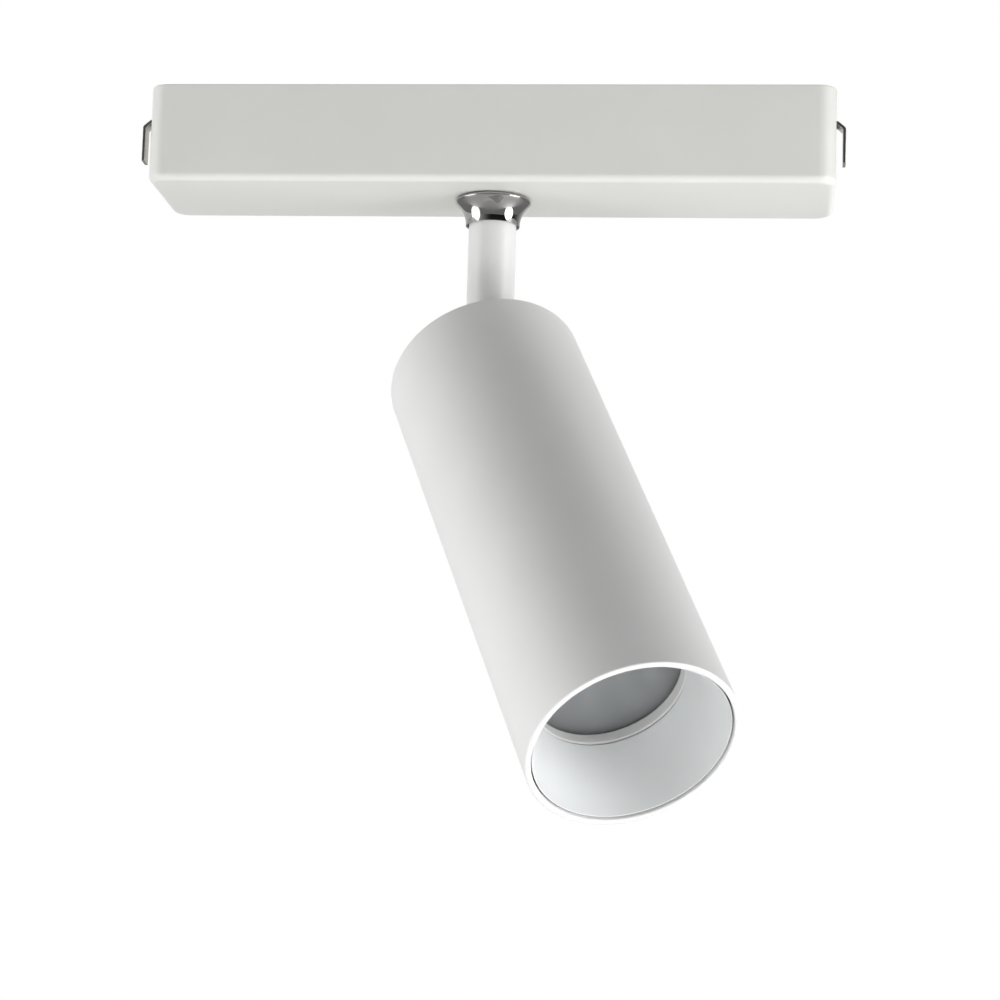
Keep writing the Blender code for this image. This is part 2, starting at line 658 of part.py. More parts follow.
def make_rear_cap(tilt_axis):
    """The disc that closes the head behind the hinge. Its lug carries the hinge screw."""
    face = at(CAP_STATION)
    low = face - CAP_THICKNESS
    cap = cylinder("rear_cap", HEAD_BORE - GAP, low, face, "aluminium", tilt_axis, 48)
    foot = face - MM
    outline = [(-LUG_RADIUS, foot), (LUG_RADIUS, foot), *arc((0.0, 0.0), LUG_RADIUS, 0, 180, 12)]
    lug = plate("hinge_lug", outline, -LUG_HALF, LUG_HALF, None, tilt_axis)
    lug.location = (0.0, 0.0, 0.0)
    lug.rotation_euler = (math.pi / 2, 0.0, math.pi / 2)
    join(cap, lug)
    hole = cylinder("lug_hole", HINGE_HOLE, -4 * MM, 4 * MM, parent=tilt_axis, steps=20)
    hole.rotation_euler = (0.0, math.pi / 2, 0.0)
    cut(cap, hole)
    cut(cap, cylinder("grommet_hole", 2.6 * MM, low - MM, face + MM, None, tilt_axis, 20, LEAD_PLACE))
    profile = [
        (3.3 * MM, face + 1.1 * MM),
        (3.3 * MM, face + GAP),
        (2.3 * MM, face + GAP),
        (2.3 * MM, low),
        (1.4 * MM, low),
        (1.4 * MM, face + 1.1 * MM),
    ]
    turned("cable_grommet", profile, "rubber", tilt_axis, 20, LEAD_PLACE)
    head = 2.6 * MM
    shank = 1.2 * MM
    top = face - 0.2 * MM
    for i, place in enumerate(CAP_SCREWS, 1):
        cut(cap, countersink(f"cap_countersink_{i}", head, shank, face, 4 * MM, tilt_axis, place))
        countersunk(f"cap_screw_{i}", head, shank, top, 12.5 * MM, "steel", tilt_axis, place)


def make_heat_sink(tilt_axis):
    """An extruded core with straight fins, and a disc in front that carries the light source."""
    back = at(CAP_STATION) - CAP_THICKNESS - GAP
    front = at(SINK_END)
    disc_back = front + 4 * MM
    fins = fin_outline(16, 10.5 * MM, 20.4 * MM, 1.2 * MM)
    sink = plate("heat_sink", fins, disc_back - MM, back, "aluminium", tilt_axis)
    join(sink, cylinder("sink_disc", 20.6 * MM, front, disc_back, None, tilt_axis, 48))
    hole = (1.6 * MM, front - MM, disc_back + MM)
    cut(sink, cylinder("sink_lead_hole", *hole, None, tilt_axis, 16, LEAD_PLACE))
    pilot = (1.5 * MM, back - 10 * MM, back + MM)
    for i, place in enumerate(CAP_SCREWS, 1):
        cut(sink, cylinder(f"sink_pilot_{i}", *pilot, None, tilt_axis, 16, place))


def fin_outline(count, core, reach, thickness):
    """A star of straight fins round a core, with a gap between fins on +Y."""
    half = thickness / 2
    outline = []
    for fin in range(count):
        turn = 2 * math.pi * (fin + 0.5) / count
        along = Vector((math.cos(turn), math.sin(turn)))
        side = Vector((-along.y, along.x)) * half
        for radius, edge in ((core, -side), (reach, -side), (reach, side), (core, side)):
            outline.append(tuple(along * radius + edge))
    return outline


def make_light_source(tilt_axis):
    board_back = at(SINK_END) - GAP
    board_front = board_back - 1.6 * MM
    board = cylinder("led_board", 17 * MM, board_front, board_back, "white_plastic", tilt_axis, 40)
    hole = (1.4 * MM, board_front - MM, board_back + MM)
    cut(board, cylinder("led_lead_hole", *hole, None, tilt_axis, 16, LEAD_PLACE))
    face = board_front - GAP
    cylinder("led_chip", 6.8 * MM, face - 1.2 * MM, face, "phosphor", tilt_axis, 32)
    ring("led_holder", 8.7 * MM, 12.4 * MM, face - 4 * MM, face, "white_plastic", tilt_axis)
    start = (*LEAD_PLACE, at(CAP_STATION) + 1.8 * MM)
    end = (*LEAD_PLACE, face - 0.8 * MM)
    wire("lamp_lead_lower", [start, end], MM, "white_cable", tilt_axis)


def make_reflector(tilt_axis):
    """A thin parabolic cup from the light source to the lens, with a flange in front."""
    start = SINK_END + 3.9 * MM
    end = LENS_FACE - 3.2 * MM
    neck = 6.4 * MM
    mouth = 16.9 * MM
    wall = 0.8 * MM
    inside = []
    steps = 5
    for step in range(steps + 1):
        part = step / steps
        inside.append((math.sqrt(neck**2 + (mouth**2 - neck**2) * part), at(start + (end - start) * part)))
    outside = [(radius + wall, height) for radius, height in inside]
    flange = [(19.0 * MM, at(end - MM)), (19.0 * MM, at(end))]
    outside[-1] = (outside[-1][0], at(end - MM))
    turned("reflector", [*outside, *flange, *inside[::-1]], "chrome", tilt_axis, 32)


def make_optics(tilt_axis):
    back = at(LENS_FACE - 2 * MM)
    face = at(LENS_FACE)
    profile = [
        (0.0, back),
        (18.6 * MM, back),
        (18.8 * MM, back - 0.2 * MM),
        (18.8 * MM, face + 0.2 * MM),
        (18.6 * MM, face),
        (0.0, face),
    ]
    turned("lens", profile, "glass", tilt_axis, 40)
    ring_low = at(APERTURE_STATION) + GAP
    ring("lens_ring", 16.2 * MM, 20.6 * MM, ring_low, face - GAP, "aluminium", tilt_axis, 40)


def make_baffle(tilt_axis):
    """A white cone from the lens to the mouth. A short skirt behind its lip fits the tube."""
    lip = 21.1 * MM
    mouth = HEAD_LENGTH - 0.7 * MM
    profile = [
        (APERTURE_RADIUS + 1.3 * MM, at(APERTURE_STATION)),
        (lip, at(mouth - 4.2 * MM)),
        (lip, at(mouth)),
        (lip - 0.2 * MM, at(mouth)),
        (APERTURE_RADIUS, at(APERTURE_STATION)),
    ]
    turned("front_baffle", profile, "white_paint", tilt_axis, 48)


def main():
    make_housing()
    make_cover()
    make_contacts()
    make_driver()
    make_module_leads()
    make_latch("latch_left", -1)
    make_latch("latch_right", 1)
    make_swivel_seat()

    pan_axis = add_axis("pan_axis", (0.0, 0.0, 0.0), (0.0, 0.0, PAN_AT_REST))
    make_stem(pan_axis)
    make_fork(pan_axis)
    make_hinge_fasteners(pan_axis)

    tilt_axis = add_axis("tilt_axis", (0.0, 0.0, PIVOT_Z), (TILT_AT_REST, 0.0, 0.0), pan_axis)
    make_tube(tilt_axis)
    make_rear_cap(tilt_axis)
    make_heat_sink(tilt_axis)
    make_light_source(tilt_axis)
    make_reflector(tilt_axis)
    make_optics(tilt_axis)
    make_baffle(tilt_axis)


main()
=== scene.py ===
"""The looks of the track spotlight: finer meshes for what shows, finishes, studio light and camera.

Everything is in metres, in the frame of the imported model, and rests on its bodies.
"""

import json
import math

import bmesh
import bpy
from mathutils import Matrix, Vector


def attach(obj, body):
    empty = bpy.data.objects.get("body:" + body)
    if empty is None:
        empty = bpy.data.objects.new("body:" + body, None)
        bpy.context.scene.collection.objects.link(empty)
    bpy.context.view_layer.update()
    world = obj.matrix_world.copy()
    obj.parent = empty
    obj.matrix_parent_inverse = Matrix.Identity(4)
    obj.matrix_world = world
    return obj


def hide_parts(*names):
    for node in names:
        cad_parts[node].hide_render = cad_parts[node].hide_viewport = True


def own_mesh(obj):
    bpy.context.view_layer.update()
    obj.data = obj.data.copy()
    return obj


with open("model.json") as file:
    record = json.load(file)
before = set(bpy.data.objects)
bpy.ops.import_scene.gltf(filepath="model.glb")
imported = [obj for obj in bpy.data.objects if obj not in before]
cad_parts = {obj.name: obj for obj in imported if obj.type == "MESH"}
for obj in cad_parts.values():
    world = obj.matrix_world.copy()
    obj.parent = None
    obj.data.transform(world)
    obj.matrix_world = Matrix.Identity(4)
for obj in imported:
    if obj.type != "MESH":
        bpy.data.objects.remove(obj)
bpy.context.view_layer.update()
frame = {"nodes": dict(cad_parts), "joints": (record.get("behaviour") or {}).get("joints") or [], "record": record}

MM = 0.001
JOINTS = {joint["name"]: joint for joint in frame["joints"]}

# Module, with the dimensions of the part's own source
BOX_LENGTH = 160.0 * MM
BOX_WIDTH = 34.0 * MM
BOX_HEIGHT = 23.0 * MM
BOX_WALL = 1.8 * MM
BOX_CORNER = 4.4 * MM
BOX_EDGE = 1.7 * MM
FLOOR_TOP = BOX_WALL - BOX_HEIGHT
GAP = 0.3 * MM
COVER_THICKNESS = 3.0 * MM
COVER_SCREWS = [(x * MM, y * MM) for x in (-71.5, 71.5) for y in (-11.5, 11.5)]
COVER_SCREW_HEAD = 2.3 * MM
COVER_SCREW_SHANK = 1.0 * MM
BOSS_RADIUS = 2.8 * MM
BOARD_SCREWS = [(18.0 * MM, -10.0 * MM), (62.0 * MM, 10.0 * MM)]
BOARD_BOSS_RADIUS = 2.4 * MM
BOARD_BOSS_TOP = -17.9 * MM
SWIVEL_HOLE = 6.6 * MM
MAGNETS = {"magnet_left": -16.0 * MM, "magnet_right": 48.0 * MM}
MAGNET_HALF = (12.0 * MM, 6.0 * MM)
MAGNET_DEPTH = 2.0 * MM

# Latches: the bend's place (on the right), the strip, and the slot's clearance across and up
LATCH_BEND = (79.1 * MM, -10.4 * MM, -7.6 * MM)
LATCH_WIDTH = 4.0 * MM
LATCH_SHEET = 0.7 * MM
LATCH_LINE = [(-1.55, -5.5, 0.0), (-1.55, -0.7, 0.5), (-0.85, 0.0, 0.5), (1.1, 0.0, 0.7),
              (2.75, -1.4, 0.7), (2.75, -9.6, 0.0)]
SLOT_SIDE = 0.4 * MM
SLOT_HALF = 0.7 * MM

# Contacts
CONTACT_X = -48.0 * MM
CONTACT_HALF = (14.0 * MM, 9.0 * MM)
CONTACT_FLANGE = 3.0 * MM
CONTACT_TOP = 0.8 * MM
CONTACT_BOTTOM = -10.0 * MM
PINS = [(CONTACT_X + x * MM, y * MM) for x in (-7.0, 7.0) for y in (-5.0, 5.0)]
PIN_NOSE = 2.6 * MM
PIN_STEP = -2.2 * MM
PIN_SHOULDER = -2.5 * MM
PIN_SEAT = -4.4 * MM
PIN_TAIL = -5.8 * MM
PIN_RADIUS = 1.0 * MM
PIN_COLLAR = 1.5 * MM
PIN_TAIL_RADIUS = 0.6 * MM
PIN_HOLE = 1.3 * MM
SPRING_HOLE = 1.8 * MM
SPRING_RADIUS = 1.1 * MM
SPRING_WIRE = 0.2 * MM
SPRING_LINE = (-9.8 * MM, -4.9 * MM)
SPRING_TURNS = 4

# Swivel, stem and head
PIVOT = Vector(JOINTS["tilt"]["pos_m"])
PAN_AT_REST = math.radians(-151.6)
TILT_AT_REST = math.radians(42.8)
RIM_ABOVE_PIVOT = 2.0 * MM
HEAD_LENGTH = 123.2 * MM
HEAD_RADIUS = 22.8 * MM
HEAD_BORE = 21.4 * MM
COLLAR_RADIUS = 9.0 * MM
COLLAR_FLARE = 5.2 * MM
STEM_RADIUS = 5.6 * MM
STEM_BORE = 2.0 * MM
SHANK_RADIUS = 4.0 * MM
SHANK_TOP = -12.5 * MM
HINGE_HOLE = 1.8 * MM
CAP_FACE = 8.5
CAP_BACK = 11.5
CAP_SCREWS = (-7.0 * MM, 7.0 * MM)
CAP_SCREW_HEAD = 2.6 * MM
CAP_SCREW_SHANK = 1.2 * MM
LUG_RADIUS = 4.6 * MM
LUG_HALF = 2.2 * MM
LEAD = (0.0, 14.0 * MM)
LEAD_HOLE = 2.6 * MM
MIRROR_ENDS = (62.7, 99.7)
MIRROR_RADII = (6.4 * MM, 16.9 * MM)
MIRROR_FLANGE = 19.0 * MM
LENS_BACK = 100.9
LENS_FACE = 102.9
LENS_RADIUS = 18.8 * MM
RING_BACK = 103.2
RING_FACE = 105.9
RING_RADII = (16.2 * MM, 20.6 * MM)
APERTURE_STATION = 106.2
APERTURE_RADIUS = 16.25 * MM
BAFFLE_LIP = 21.1 * MM

MODULE = Matrix.Identity(4)
STEM = Matrix.Rotation(PAN_AT_REST, 4, "Z")
HINGE = Matrix.Translation(PIVOT) @ STEM
HEAD = HINGE @ Matrix.Rotation(TILT_AT_REST, 4, "X")
ACROSS = Matrix.Rotation(math.pi / 2, 4, "Y")


# ---------------------------------------------------------------- finishes

def node(tree, kind, **values):
    made = tree.nodes.new(kind)
    for key, value in values.items():
        if key in made.inputs:
            made.inputs[key].default_value = value
        else:
            setattr(made, key, value)
    return made


def noise(tree, place, scale, detail):
    """A noise field of the given scale, per metre."""
    made = node(tree, "ShaderNodeTexNoise", Scale=scale, Detail=detail)
    tree.links.new(place, made.inputs["Vector"])
    return made.outputs["Fac"]


def spread(tree, value, low, high, start=0.3, end=0.7):
    """The value, which runs from start to end, spread from low to high."""
    made = node(tree, "ShaderNodeMapRange")
    for socket, number in zip(made.inputs[1:5], (start, end, low, high)):
        socket.default_value = number
    tree.links.new(value, made.inputs[0])
    return made.outputs[0]


def blend_colours(tree, factor, first, second):
    made = node(tree, "ShaderNodeMix", data_type="RGBA")
    made.inputs[6].default_value = (*first, 1.0)
    made.inputs[7].default_value = (*second, 1.0)
    tree.links.new(factor, made.inputs[0])
    return made.outputs[2]


def finish(name, colours, roughness, metallic=0.0, mottle=90.0, grain=1500.0, height=0.01 * MM,
           stretch=(1.0, 1.0, 1.0), extra=None):
    """A surface whose colour and roughness vary slowly and whose relief is fine.

    colours and roughness are pairs of limits. mottle and grain are scales per metre, height is the
    relief's depth, stretch turns the noise into brush lines, and extra holds other shader values.
    """
    material = bpy.data.materials.new(name)
    material.use_nodes = True
    tree = material.node_tree
    shader = tree.nodes["Principled BSDF"]
    shader.inputs["Metallic"].default_value = metallic
    for key, value in (extra or {}).items():
        shader.inputs[key].default_value = value
    place = node(tree, "ShaderNodeTexCoord").outputs["Object"]
    mapping = node(tree, "ShaderNodeMapping", Scale=stretch)
    tree.links.new(place, mapping.inputs["Vector"])
    slow = noise(tree, mapping.outputs["Vector"], mottle, 4.0)
    fine = noise(tree, mapping.outputs["Vector"], grain, 2.0)
    colour = blend_colours(tree, spread(tree, slow, 0.0, 1.0), *colours)
    tree.links.new(colour, shader.inputs["Base Color"])
    tree.links.new(spread(tree, slow, *roughness), shader.inputs["Roughness"])
    bump = node(tree, "ShaderNodeBump", Strength=1.0, Distance=height)
    tree.links.new(fine, bump.inputs["Height"])
    tree.links.new(bump.outputs["Normal"], shader.inputs["Normal"])
    return material


def shades(colour, change):
    """The colour made a little darker and a little lighter."""
    return [tuple(min(1.0, part * (1.0 + side * change)) for part in colour) for side in (-1, 1)]


FINISHES = {
    "white_paint": finish("white_paint", shades((0.80, 0.80, 0.795), 0.012), (0.33, 0.40),
                          mottle=60, grain=2600, height=0.003 * MM),
    "warm_paint": finish("warm_paint", shades((0.80, 0.805, 0.765), 0.012), (0.33, 0.40),
                         mottle=60, grain=2600, height=0.003 * MM),
    "cool_paint": finish("cool_paint", shades((0.785, 0.80, 0.80), 0.012), (0.30, 0.38),
                         mottle=60, grain=2600, height=0.003 * MM),
    "white_plastic": finish("white_plastic", shades((0.78, 0.78, 0.77), 0.015), (0.45, 0.55),
                            grain=3200, height=0.006 * MM),
    "black_plastic": finish("black_plastic", shades((0.035, 0.035, 0.037), 0.15), (0.42, 0.56),
                            grain=3000, height=0.008 * MM),
    "chrome": finish("chrome", shades((0.40, 0.395, 0.39), 0.02), (0.03, 0.07), 1.0,
                     mottle=240, grain=900, height=0.0003 * MM),
    "mirror": finish("mirror", shades((0.86, 0.86, 0.87), 0.02), (0.06, 0.10), 1.0,
                     mottle=240, grain=900, height=0.0003 * MM),
    "steel": finish("steel", shades((0.56, 0.53, 0.50), 0.12), (0.24, 0.36), 1.0,
                    mottle=300, grain=1800, height=0.002 * MM, stretch=(1.0, 1.0, 0.12)),
    "nickel": finish("nickel", shades((0.70, 0.68, 0.63), 0.05), (0.16, 0.26), 1.0,
                     mottle=200, grain=1500, height=0.002 * MM),
    "brass": finish("brass", shades((0.86, 0.62, 0.26), 0.07), (0.16, 0.30), 1.0,
                    mottle=500, grain=2600, height=0.002 * MM, stretch=(1.0, 1.0, 4.0)),
    "aluminium": finish("aluminium", shades((0.74, 0.75, 0.76), 0.04), (0.28, 0.40), 1.0,
                        mottle=160, grain=2400, height=0.003 * MM),
    "circuit_board": finish("circuit_board", [(0.012, 0.12, 0.045), (0.03, 0.21, 0.08)], (0.25, 0.4),
                            mottle=420, grain=700, height=0.02 * MM),
    "copper": finish("copper", shades((0.66, 0.30, 0.14), 0.18), (0.28, 0.4), 1.0,
                     mottle=900, grain=2200, height=0.02 * MM, stretch=(0.2, 0.2, 1.6)),
    "phosphor": finish("phosphor", shades((0.86, 0.66, 0.12), 0.08), (0.35, 0.5),
                       mottle=800, grain=4200, height=0.01 * MM),
    "rubber": finish("rubber", shades((0.04, 0.04, 0.042), 0.2), (0.7, 0.85),
                     grain=1900, height=0.012 * MM),
    "red_cable": finish("red_cable", shades((0.5, 0.03, 0.025), 0.1), (0.42, 0.55), grain=2200),
    "black_cable": finish("black_cable", shades((0.025, 0.025, 0.027), 0.2), (0.42, 0.55), grain=2200),
    "white_cable": finish("white_cable", shades((0.76, 0.76, 0.74), 0.03), (0.42, 0.55), grain=2200),
    "glass": finish("glass", shades((0.80, 0.82, 0.83), 0.02), (0.42, 0.52), mottle=70, grain=420,
                    height=0.004 * MM, extra={"Transmission Weight": 0.9, "IOR": 1.49, "Coat Weight": 1.0,
                                              "Coat Roughness": 0.06}),
}


# ---------------------------------------------------------------- shapes

def arc(centre, radius, start, end, steps):
    """Points along an arc between two angles in degrees."""
    points = []
    for step in range(steps + 1):
        angle = math.radians(start + (end - start) * step / steps)
        points.append((centre[0] + radius * math.cos(angle), centre[1] + radius * math.sin(angle)))
    return points


def soften(points, radius, steps=4, closed=True):
    """The line with its corners rounded. A point's own third value goes before the given radius."""
    count = len(points)
    line = []
    for i, point in enumerate(points):
        corner = Vector(point[:2])
        reach = point[2] if len(point) > 2 else radius
        on_axis = corner.x < 1e-9
        if reach <= 0.0 or (not closed and i in (0, count - 1)) or on_axis:
            line.append(tuple(corner))
            continue
        before = Vector(points[i - 1][:2]) - corner
        after = Vector(points[(i + 1) % count][:2]) - corner
        opening = before.angle(after)
        if opening > math.radians(174):
            line.append(tuple(corner))
            continue
        cut = min(reach / math.tan(opening / 2), 0.45 * before.length, 0.45 * after.length)
        start = corner + before.normalized() * cut
        end = corner + after.normalized() * cut
        for step in range(steps + 1):
            t = step / steps
            line.append(tuple(start * (1 - t) ** 2 + corner * 2 * t * (1 - t) + end * t**2))
    return line


def finished(obj, body, slot, *nodes, place=MODULE, sharp=32.0, look=None):
    """The object as a shown piece: smooth shading, its place, its body, its finish, what it stands for."""
    obj.data.transform(place)
    obj.data.shade_smooth()
    obj.data.set_sharp_from_angle(angle=math.radians(sharp))
    obj.data.materials.clear()
    obj.data.materials.append(FINISHES[look or slot])
    weighted = obj.modifiers.new("Normals", "WEIGHTED_NORMAL")
    weighted.keep_sharp = True
    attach(obj, body)
    if nodes:
        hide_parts(*nodes)
    return obj


def object_from(name, bm):
    bmesh.ops.recalc_face_normals(bm, faces=bm.faces)
    mesh = bpy.data.meshes.new(name)
    bm.to_mesh(mesh)
    bm.free()
    obj = bpy.data.objects.new(name, mesh)
    bpy.context.scene.collection.objects.link(obj)
    return obj


def lathe(name, profile, steps=96, centre=(0.0, 0.0)):
    """A closed solid turned about an upright axis, from its (radius, height) profile."""
    bm = bmesh.new()
    rings = []
    for radius, height in profile:
        if radius < 1e-9:
            rings.append([bm.verts.new((*centre, height))])
            continue
        turns = [2 * math.pi * step / steps for step in range(steps)]
        rings.append([bm.verts.new((centre[0] + radius * math.cos(turn),
                                    centre[1] + radius * math.sin(turn), height)) for turn in turns])
    pairs = list(zip(rings, rings[1:]))
    if len(rings[0]) > 1:
        pairs.append((rings[-1], rings[0]))
    for upper, lower in pairs:
        if len(upper) == 1 and len(lower) == 1:
            continue
        for step in range(steps):
            after = (step + 1) % steps
            if len(upper) == 1:
                bm.faces.new((upper[0], lower[step], lower[after]))
            elif len(lower) == 1:
                bm.faces.new((upper[step], lower[0], upper[after]))
            else:
                bm.faces.new((upper[step], lower[step], lower[after], upper[after]))
    return object_from(name, bm)


def rod(name, radius, low, high, steps=48, centre=(0.0, 0.0)):
    """An upright solid cylinder."""
    return lathe(name, [(0.0, high), (radius, high), (radius, low), (0.0, low)], steps, centre)


def rounded_rectangle(length, width, radius, steps=12):
    """The outline of a rectangle with round corners, about the origin."""
    outline = []
    for quarter, (side_x, side_y) in enumerate(((1, 1), (-1, 1), (-1, -1), (1, -1))):
        middle = (side_x * (length / 2 - radius), side_y * (width / 2 - radius))
        outline += arc(middle, radius, 90 * quarter, 90 * quarter + 90, steps)
    return outline


def stack(name, loops):
    """A closed solid from equal-sized closed loops of points, one over the other."""
    bm = bmesh.new()
    rings = [[bm.verts.new(point) for point in loop] for loop in loops]
    count = len(rings[0])
    for lower, upper in zip(rings, rings[1:]):
        for i in range(count):
            j = (i + 1) % count
            bm.faces.new((lower[i], lower[j], upper[j], upper[i]))
    bm.faces.new(rings[0][::-1])
    bm.faces.new(rings[-1])
    return object_from(name, bm)


def slab(name, length, width, corner, low, high, lower_edge, upper_edge, steps=6):
    """A block with round upright corners and rounded lower and upper edges."""
    levels = [(lower_edge - x, low + lower_edge - y) for x, y in
              [(lower_edge * math.cos(a), lower_edge * math.sin(a))
               for a in [math.pi / 2 * (1 - step / steps) for step in range(steps + 1)]]]
    levels += [(upper_edge - x, high - upper_edge + y) for x, y in
               [(upper_edge * math.cos(a), upper_edge * math.sin(a))
                for a in [math.pi / 2 * step / steps for step in range(steps + 1)]]]
    loops = []
    for inset, height in levels:
        outline = rounded_rectangle(length - 2 * inset, width - 2 * inset, corner - inset)
        loops.append([(x, y, height) for x, y in outline])
    return stack(name, loops)


def block(name, low, high, edge=0.0, segments=3):
    """A box between two corners, with its edges rounded where an edge radius is given."""
    low = Vector(low)
    high = Vector(high)
    bm = bmesh.new()
    middle = Matrix.Translation((low + high) / 2)
    bmesh.ops.create_cube(bm, size=1.0, matrix=middle @ Matrix.Diagonal((*(high - low), 1.0)))
    if edge:
        bmesh.ops.bevel(bm, geom=bm.edges[:], offset=edge, segments=segments, profile=0.5, affect="EDGES")
    return object_from(name, bm)


def prism(name, outline, low, high):
    """A flat outline in XY, extruded from one height to another."""
    return stack(name, [[(x, y, height) for x, y in outline] for height in (low, high)])


def carve(target, tools, operation="DIFFERENCE"):
    """Cuts the tools from the target, or joins them to it, and keeps only the result."""
    for tool in tools:
        modifier = target.modifiers.new("Boolean", "BOOLEAN")
        modifier.operation = operation
        modifier.solver = "EXACT"
        modifier.object = tool
    bpy.context.view_layer.update()
    shaped = target.evaluated_get(bpy.context.evaluated_depsgraph_get())
    mesh = bpy.data.meshes.new_from_object(shaped)
    target.modifiers.clear()
    target.data = mesh
    for tool in tools:
        bpy.data.objects.remove(tool)
    return target


def coil(name, centre, radius, wire, low, high, turns, steps=24, sides=10):
    """A coil spring of round wire. Low and high are the wire's middle at its ends."""
    loops = []
    for step in range(turns * steps + 1):
        turn = 2 * math.pi * step / steps
        height = low + (high - low) * step / (turns * steps)
        loop = []
        for side in range(sides):
            around = 2 * math.pi * side / sides
            reach = radius + wire * math.cos(around)
            loop.append((centre[0] + reach * math.cos(turn), centre[1] + reach * math.sin(turn),
                         height + wire * math.sin(around)))
        loops.append(loop)
    return stack(name, loops)


def moved(obj, place):
    """The object with its mesh turned or shifted."""
    obj.data.transform(place)
    return obj


# ---------------------------------------------------------------- module

def make_housing():
    """The tray, with its screw bosses, the swivel's hole and a slot for each latch."""
    housing = slab("housing_shell", BOX_LENGTH, BOX_WIDTH, BOX_CORNER, -BOX_HEIGHT, 0.0,
                   BOX_EDGE, 0.25 * MM, 8)
    inside = [(*point, height) for height in (FLOOR_TOP, 2 * MM) for point in
              rounded_rectangle(BOX_LENGTH - 2 * BOX_WALL, BOX_WIDTH - 2 * BOX_WALL, BOX_CORNER - BOX_WALL)]
    half = len(inside) // 2
    carve(housing, [stack("inside", [inside[:half], inside[half:]])])
    root = FLOOR_TOP - BOX_WALL / 2
    bosses = [rod("boss", BOSS_RADIUS, root, -COVER_THICKNESS - GAP, 24, place) for place in COVER_SCREWS]
    bosses += [rod("boss", BOARD_BOSS_RADIUS, root, BOARD_BOSS_TOP, 24, place) for place in BOARD_SCREWS]
    carve(housing, bosses, "UNION")
    holes = [rod("hole", 1.3 * MM, -11 * MM, 0.0, 16, place) for place in COVER_SCREWS]
    holes += [rod("hole", 1.2 * MM, -20.9 * MM, -10 * MM, 16, place) for place in BOARD_SCREWS]
    holes.append(rod("hole", SWIVEL_HOLE, -BOX_HEIGHT - MM, FLOOR_TOP + MM, 64))
    _, y, z = LATCH_BEND
    half = LATCH_WIDTH / 2 + SLOT_SIDE
    for x in (-BOX_LENGTH / 2, BOX_LENGTH / 2):
        holes.append(block("slot", (x - 4 * MM, y - half, z - SLOT_HALF),
                           (x + 4 * MM, y + half, z + SLOT_HALF)))
    carve(housing, holes)
    finished(housing, "module", "white_paint", "adapter_housing", look="warm_paint")


def countersunk_hole(head, shank, face, depth, centre):
    """The cutter for a countersunk screw's hole, which starts at a face."""
    profile = [
        (0.0, face + MM),
        (head + GAP, face + MM),
        (head + GAP, face - 0.7 * MM),
        (shank + GAP, face - 0.7 * MM - (head - shank)),
        (shank + GAP, face - depth),
        (0.0, face - depth),
    ]
    return lathe("countersink", profile, 48, centre)


def make_cover():
    """The plate on the tray, with the magnets in it, a window for the contacts, and its screws."""
    inset = BOX_WALL + GAP
    cover = slab("cover_plate", BOX_LENGTH - 2 * inset, BOX_WIDTH - 2 * inset, BOX_CORNER - inset,
                 -COVER_THICKNESS, 0.0, 0.15 * MM, 0.35 * MM, 4)
    holes = [countersunk_hole(COVER_SCREW_HEAD, COVER_SCREW_SHANK, 0.0, 4 * MM, place)
             for place in COVER_SCREWS]
    half_x, half_y = (half + GAP for half in MAGNET_HALF)
    for x in MAGNETS.values():
        holes.append(block("pocket", (x - half_x, -half_y, -MAGNET_DEPTH - GAP), (x + half_x, half_y, MM)))
    half_x, half_y = (half + GAP for half in CONTACT_HALF)
    holes.append(block("window", (CONTACT_X - half_x, -half_y, -4 * MM), (CONTACT_X + half_x, half_y, MM)))
    carve(cover, holes)
    finished(cover, "module", "white_plastic", "top_cover")
    half_x, half_y = MAGNET_HALF
    for name, x in MAGNETS.items():
        magnet = block(name + "_bar", (x - half_x, -half_y, -MAGNET_DEPTH), (x + half_x, half_y, -0.1 * MM),
                       0.3 * MM, 4)
        finished(magnet, "module", "nickel", name)
    for i, place in enumerate(COVER_SCREWS, 1):
        make_screw(f"cover_screw_{i}", COVER_SCREW_HEAD, COVER_SCREW_SHANK, -0.2 * MM, 9 * MM, place,
                   "module", MODULE)


def make_screw(node_name, head, shank, top, length, centre, body, place):
    """A countersunk screw with a cross recess in its head."""
    profile = [
        (0.0, top),
        (head, top, 0.08 * MM),
        (head, top - 0.3 * MM, 0.05 * MM),
        (shank, top - 0.3 * MM - (head - shank)),
        (shank, top - length, 0.2 * MM),
        (0.0, top - length),
    ]
    screw = lathe(node_name + "_turned", soften(profile, 0.1 * MM, 3, closed=False), 40, centre)
    long, short = head * 0.55, head * 0.13
    cross = []
    for half_x, half_y in ((long, short), (short, long)):
        loops = [[(centre[0] + x * half_x * grow, centre[1] + y * half_y * grow, height)
                  for x, y in ((-1, -1), (1, -1), (1, 1), (-1, 1))]
                 for height, grow in ((top - 0.9 * MM, 0.45), (top + 0.2 * MM, 1.1))]
        cross.append(stack("cross", loops))
    carve(screw, cross)
    finished(screw, body, "steel", node_name, place=place)


